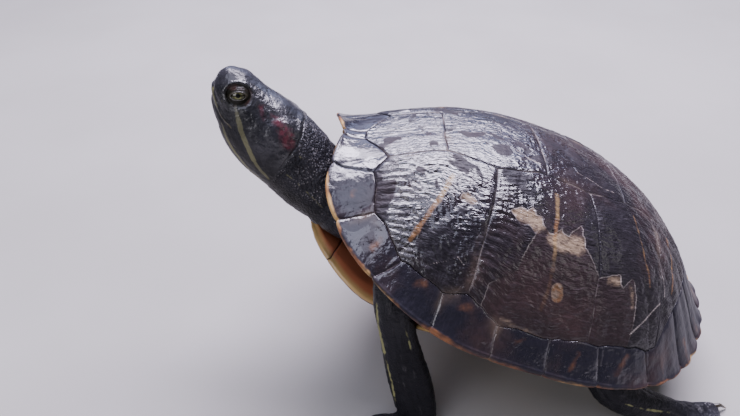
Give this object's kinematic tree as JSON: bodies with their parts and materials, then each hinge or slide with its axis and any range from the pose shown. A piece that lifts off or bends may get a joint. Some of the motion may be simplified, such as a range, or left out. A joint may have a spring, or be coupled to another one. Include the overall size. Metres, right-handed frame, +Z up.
{
  "type": "red-eared slider turtle",
  "caption": "Life-size still model of an adult red-eared slider turtle, shell tipped nose up on its forelegs, head raised, resting on its feet, tail and rear plastron.",
  "frame": {"origin": "on the floor, under the middle of the model's box", "axes": "-Y towards the head, +X the animal's left side, +Z up"},
  "size_m": [0.2258, 0.3096, 0.1803],
  "materials": {
    "plate": "wet dark horn",
    "plate_rim": "wet dark horn with a pale yellow edge",
    "plastron": "yellow-orange horn with dark smudges",
    "skin": "dark scaly skin with yellow stripes",
    "body_skin": "dark soft skin",
    "eye": "wet, dark yellow-green",
    "claw": "dark horn"
  },
  "bodies": {
    "root": {"scute_nuchal": "plate_rim", "scute_vertebral_1": "plate", "scute_vertebral_2": "plate", "scute_vertebral_3": "plate", "scute_vertebral_4": "plate", "scute_vertebral_5": "plate", "scute_costal_left_1": "plate", "scute_costal_right_1": "plate", "scute_costal_left_2": "plate", "scute_costal_right_2": "plate", "scute_costal_left_3": "plate", "scute_costal_right_3": "plate", "scute_costal_left_4": "plate", "scute_costal_right_4": "plate", "scute_marginal_left_1": "plate_rim", "scute_marginal_right_1": "plate_rim", "scute_marginal_left_2": "plate_rim", "scute_marginal_right_2": "plate_rim", "scute_marginal_left_3": "plate_rim", "scute_marginal_right_3": "plate_rim", "scute_marginal_left_4": "plate_rim", "scute_marginal_right_4": "plate_rim", "scute_marginal_left_5": "plate_rim", "scute_marginal_right_5": "plate_rim", "scute_marginal_left_6": "plate_rim", "scute_marginal_right_6": "plate_rim", "scute_marginal_left_7": "plate_rim", "scute_marginal_right_7": "plate_rim", "scute_marginal_left_8": "plate_rim", "scute_marginal_right_8": "plate_rim", "scute_marginal_left_9": "plate_rim", "scute_marginal_right_9": "plate_rim", "scute_marginal_left_10": "plate_rim", "scute_marginal_right_10": "plate_rim", "scute_marginal_left_11": "plate_rim", "scute_marginal_right_11": "plate_rim", "scute_marginal_left_12": "plate_rim", "scute_marginal_right_12": "plate_rim", "plastron": "plastron", "trunk": "body_skin", "eye_left": "eye", "eye_right": "eye", "head": "skin", "neck": "skin", "tail": "skin", "foreleg_left_upper": "skin", "foreleg_left_lower": "skin", "forefoot_left": "skin", "foreleg_right_upper": "skin", "foreleg_right_lower": "skin", "forefoot_right": "skin", "hindleg_left_upper": "skin", "hindleg_left_lower": "skin", "hindfoot_left": "skin", "hindleg_right_upper": "skin", "hindleg_right_lower": "skin", "hindfoot_right": "skin"}
  },
  "joints": []
}
